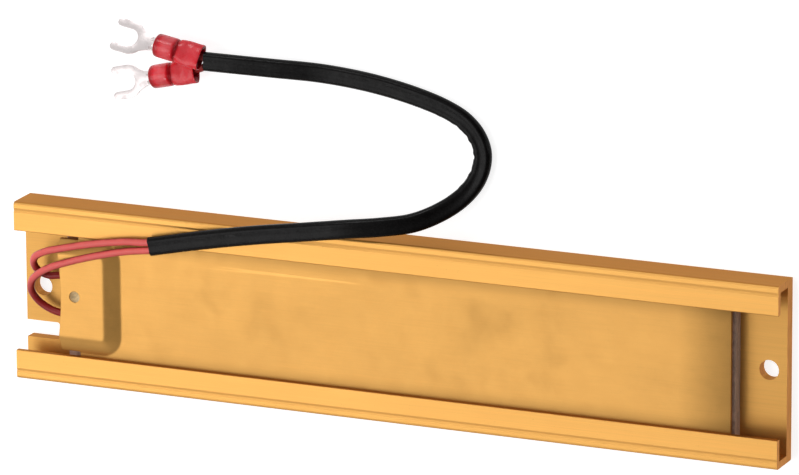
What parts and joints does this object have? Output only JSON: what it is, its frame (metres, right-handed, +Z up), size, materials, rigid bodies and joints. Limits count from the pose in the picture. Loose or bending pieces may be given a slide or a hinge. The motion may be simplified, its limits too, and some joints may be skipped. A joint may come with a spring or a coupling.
{
  "type": "aluminium housed power resistor",
  "caption": "Flat power resistor in a gold anodised aluminium channel, with two red leads in a black sleeve that end in insulated fork terminals.",
  "frame": {"origin": "middle of the channel's length and width, on its mounting base", "axes": "+X along the channel away from the end where the leads come out, +Y across it towards the side that the leads cross, +Z up from the mounting base to the lips"},
  "size_m": [0.22, 0.1015, 0.0137],
  "materials": {
    "gold_channel": "satin gold anodised extrusion",
    "gold_plate": "satin gold anodised sheet",
    "mica": "layered mica board, dull",
    "ribbon_alloy": "drawn resistance ribbon",
    "plated_metal": "nickel plated",
    "glass_sleeving": "braided glass sleeving",
    "cement": "dry silicone cement",
    "red_silicone": "smooth silicone insulation",
    "black_sleeving": "varnished sleeving, semi gloss",
    "tinned_metal": "bright tin plate",
    "red_vinyl": "soft glossy vinyl"
  },
  "bodies": {
    "root": {"housing": "gold_channel", "cover_plate": "gold_plate", "mica_base_sheet": "mica", "mica_under_sheet": "mica", "mica_spacer_frame": "mica", "mica_over_sheet": "mica", "mica_top_sheet": "mica", "card_a": "mica", "card_b": "mica", "ribbon_a": "ribbon_alloy", "ribbon_b": "ribbon_alloy", "ribbon_bridge": "plated_metal", "card_eyelets": "plated_metal", "tab_a": "plated_metal", "tab_b": "plated_metal", "splice_ferrule_a": "plated_metal", "splice_ferrule_b": "plated_metal", "glass_sleeve_a": "glass_sleeving", "glass_sleeve_b": "glass_sleeving", "cement_fill": "cement", "lead_a": "red_silicone", "lead_b": "red_silicone", "lead_sleeve": "black_sleeving", "fork_terminal_a": "tinned_metal", "fork_terminal_b": "tinned_metal", "fork_insulator_a": "red_vinyl", "fork_insulator_b": "red_vinyl"}
  },
  "joints": []
}
